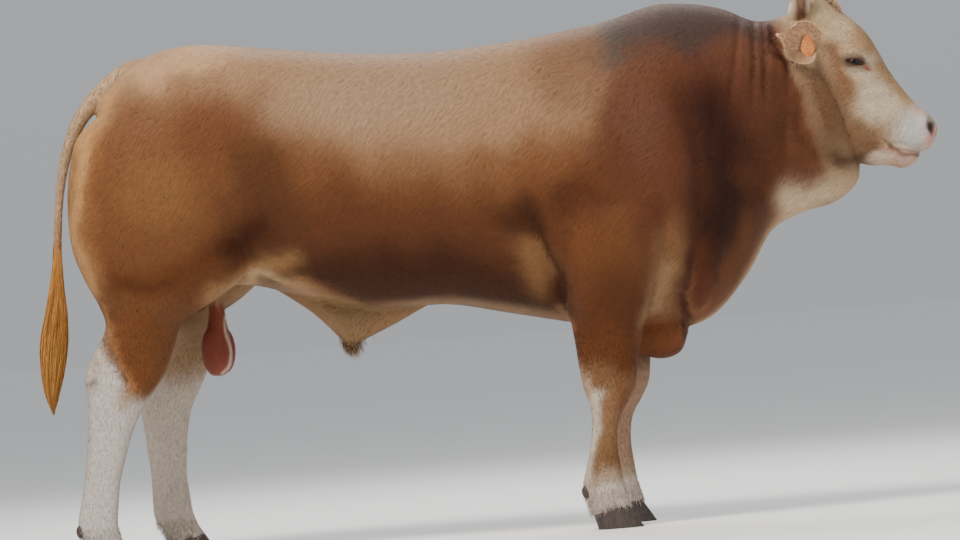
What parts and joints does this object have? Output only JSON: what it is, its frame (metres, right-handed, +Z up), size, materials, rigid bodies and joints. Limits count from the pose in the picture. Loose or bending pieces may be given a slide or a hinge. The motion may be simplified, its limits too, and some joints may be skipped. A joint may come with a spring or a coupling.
{
  "type": "blonde d'aquitaine bull",
  "caption": "Life-size standing Blonde d'Aquitaine bull as a still museum-type model, with short horns, hooves, a hanging tail with a long-haired switch and a blank ear tag.",
  "frame": {"origin": "on the ground under the middle of the bull's bounding box", "axes": "+X towards the head, +Y to the bull's left, +Z up"},
  "size_m": [2.8284, 0.7714, 1.6559],
  "materials": {
    "coat": "short flat hair, tan to dark brown, cream below the hocks",
    "switch_hair": "long straight golden orange hair",
    "bare_skin": "thinly haired reddish brown skin",
    "horn": "satin horn, pale with a brown tip",
    "hoof": "dull dark horn",
    "eye": "wet, dark brown",
    "ear_tag": "orange, blank"
  },
  "bodies": {
    "root": {"torso": "coat", "neck": "coat", "head": "coat", "ear_right": "coat", "ear_left": "coat", "ear_tag_right": "ear_tag", "eye_right": "eye", "eye_left": "eye", "horn_right": "horn", "horn_left": "horn", "foreleg_right_upper": "coat", "foreleg_right_lower": "coat", "foreleg_left_upper": "coat", "foreleg_left_lower": "coat", "hindleg_right_upper": "coat", "hindleg_right_lower": "coat", "hindleg_left_upper": "coat", "hindleg_left_lower": "coat", "tail_upper": "coat", "tail_lower": "coat", "tail_switch": "switch_hair", "scrotum": "bare_skin", "hoof_fore_right_inner": "hoof", "hoof_fore_right_outer": "hoof", "hoof_fore_left_inner": "hoof", "hoof_fore_left_outer": "hoof", "hoof_hind_right_inner": "hoof", "hoof_hind_right_outer": "hoof", "hoof_hind_left_inner": "hoof", "hoof_hind_left_outer": "hoof", "dewclaw_fore_right_inner": "hoof", "dewclaw_fore_right_outer": "hoof", "dewclaw_fore_left_inner": "hoof", "dewclaw_fore_left_outer": "hoof", "dewclaw_hind_right_inner": "hoof", "dewclaw_hind_right_outer": "hoof", "dewclaw_hind_left_inner": "hoof", "dewclaw_hind_left_outer": "hoof"}
  },
  "joints": []
}
